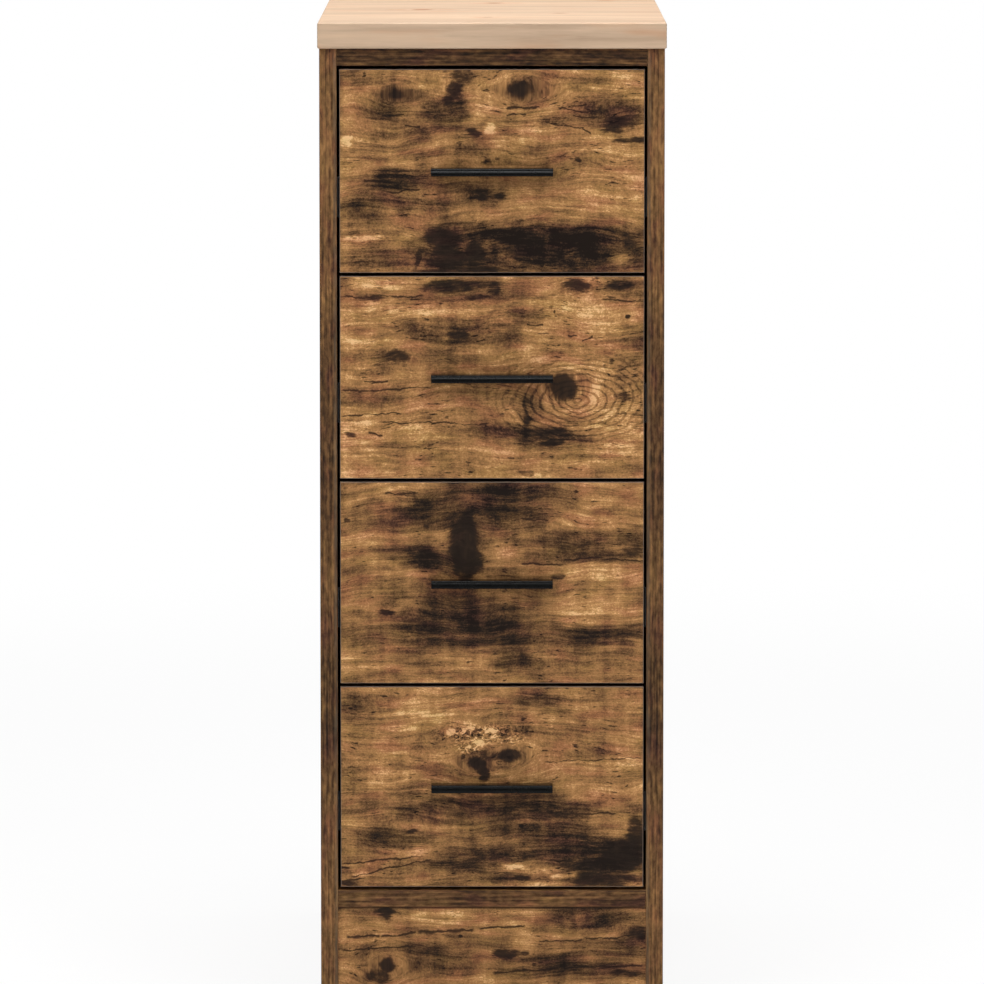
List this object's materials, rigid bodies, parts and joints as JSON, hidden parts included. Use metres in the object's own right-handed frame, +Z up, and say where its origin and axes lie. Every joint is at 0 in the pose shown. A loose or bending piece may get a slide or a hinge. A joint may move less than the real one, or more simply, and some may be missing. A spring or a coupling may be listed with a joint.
{
  "type": "drawer cabinet",
  "caption": "Narrow upright storage cabinet with stacked flush drawers on ball-bearing runners, a solid wood worktop and a closed plinth.",
  "frame": {"origin": "on the floor, under the middle of the overall box", "axes": "+Z up; the drawers open towards -Y; +X to the right of someone facing the drawers"},
  "size_m": [0.303, 0.5146, 0.86],
  "materials": {
    "old_wood_board": "matt printed foil in a dark, stained old-wood pattern on particle board",
    "pine": "sanded, clear matt oil on solid pine",
    "hardboard": "smooth brown hardboard",
    "drawer_board": "matt dark brown foil on particle board",
    "beech": "turned and bare",
    "black_metal": "satin black powder coat on aluminium",
    "zinc_steel": "bright zinc plating on steel",
    "bearing_steel": "greased steel cage strip and polished balls",
    "black_plastic": "moulded, matt"
  },
  "bodies": {
    "cabinet": {"worktop": "pine", "left_side_panel": "old_wood_board", "right_side_panel": "old_wood_board", "top_panel": "old_wood_board", "bottom_panel": "old_wood_board", "back_panel": "hardboard", "plinth_board": "old_wood_board", "rear_base_rail": "old_wood_board", "cam_bolts": "zinc_steel", "cam_locks": "zinc_steel", "carcass_dowels": "beech", "worktop_screws": "zinc_steel", "back_panel_nails": "zinc_steel", "wall_brackets": "zinc_steel", "wall_bracket_screws": "zinc_steel", "floor_glides": "black_plastic", "cabinet_runner_screws": "zinc_steel", "cabinet_runners_1": "zinc_steel", "cabinet_runners_2": "zinc_steel", "cabinet_runners_3": "zinc_steel", "cabinet_runners_4": "zinc_steel"},
    "drawer_1": {"drawer_1_front": "old_wood_board", "drawer_1_left_side": "drawer_board", "drawer_1_right_side": "drawer_board", "drawer_1_back": "drawer_board", "drawer_1_bottom": "hardboard", "drawer_1_handle": "black_metal", "drawer_1_fixings": "zinc_steel", "drawer_1_runners": "zinc_steel"},
    "cages_1": {"ball_cages_1": "bearing_steel"},
    "drawer_2": {"drawer_2_front": "old_wood_board", "drawer_2_left_side": "drawer_board", "drawer_2_right_side": "drawer_board", "drawer_2_back": "drawer_board", "drawer_2_bottom": "hardboard", "drawer_2_handle": "black_metal", "drawer_2_fixings": "zinc_steel", "drawer_2_runners": "zinc_steel"},
    "cages_2": {"ball_cages_2": "bearing_steel"},
    "drawer_3": {"drawer_3_front": "old_wood_board", "drawer_3_left_side": "drawer_board", "drawer_3_right_side": "drawer_board", "drawer_3_back": "drawer_board", "drawer_3_bottom": "hardboard", "drawer_3_handle": "black_metal", "drawer_3_fixings": "zinc_steel", "drawer_3_runners": "zinc_steel"},
    "cages_3": {"ball_cages_3": "bearing_steel"},
    "drawer_4": {"drawer_4_front": "old_wood_board", "drawer_4_left_side": "drawer_board", "drawer_4_right_side": "drawer_board", "drawer_4_back": "drawer_board", "drawer_4_bottom": "hardboard", "drawer_4_handle": "black_metal", "drawer_4_fixings": "zinc_steel", "drawer_4_runners": "zinc_steel"},
    "cages_4": {"ball_cages_4": "bearing_steel"}
  },
  "joints": [
    {"name": "drawer_1_slide", "type": "slide", "parent": "cabinet", "child": "drawer_1", "axis": [0, -1, 0], "range_m": [0, 0.33]},
    {"name": "drawer_2_slide", "type": "slide", "parent": "cabinet", "child": "drawer_2", "axis": [0, -1, 0], "range_m": [0, 0.33]},
    {"name": "drawer_3_slide", "type": "slide", "parent": "cabinet", "child": "drawer_3", "axis": [0, -1, 0], "range_m": [0, 0.33]},
    {"name": "drawer_4_slide", "type": "slide", "parent": "cabinet", "child": "drawer_4", "axis": [0, -1, 0], "range_m": [0, 0.33]},
    {"name": "cages_1_slide", "type": "slide", "parent": "cabinet", "child": "cages_1", "axis": [0, -1, 0], "range_m": [0, 0.165]},
    {"name": "cages_2_slide", "type": "slide", "parent": "cabinet", "child": "cages_2", "axis": [0, -1, 0], "range_m": [0, 0.165]},
    {"name": "cages_3_slide", "type": "slide", "parent": "cabinet", "child": "cages_3", "axis": [0, -1, 0], "range_m": [0, 0.165]},
    {"name": "cages_4_slide", "type": "slide", "parent": "cabinet", "child": "cages_4", "axis": [0, -1, 0], "range_m": [0, 0.165]}
  ],
  "couplings": [
    {"joint": "cages_1_slide", "follows": "drawer_1_slide", "ratio": 0.5},
    {"joint": "cages_2_slide", "follows": "drawer_2_slide", "ratio": 0.5},
    {"joint": "cages_3_slide", "follows": "drawer_3_slide", "ratio": 0.5},
    {"joint": "cages_4_slide", "follows": "drawer_4_slide", "ratio": 0.5}
  ]
}
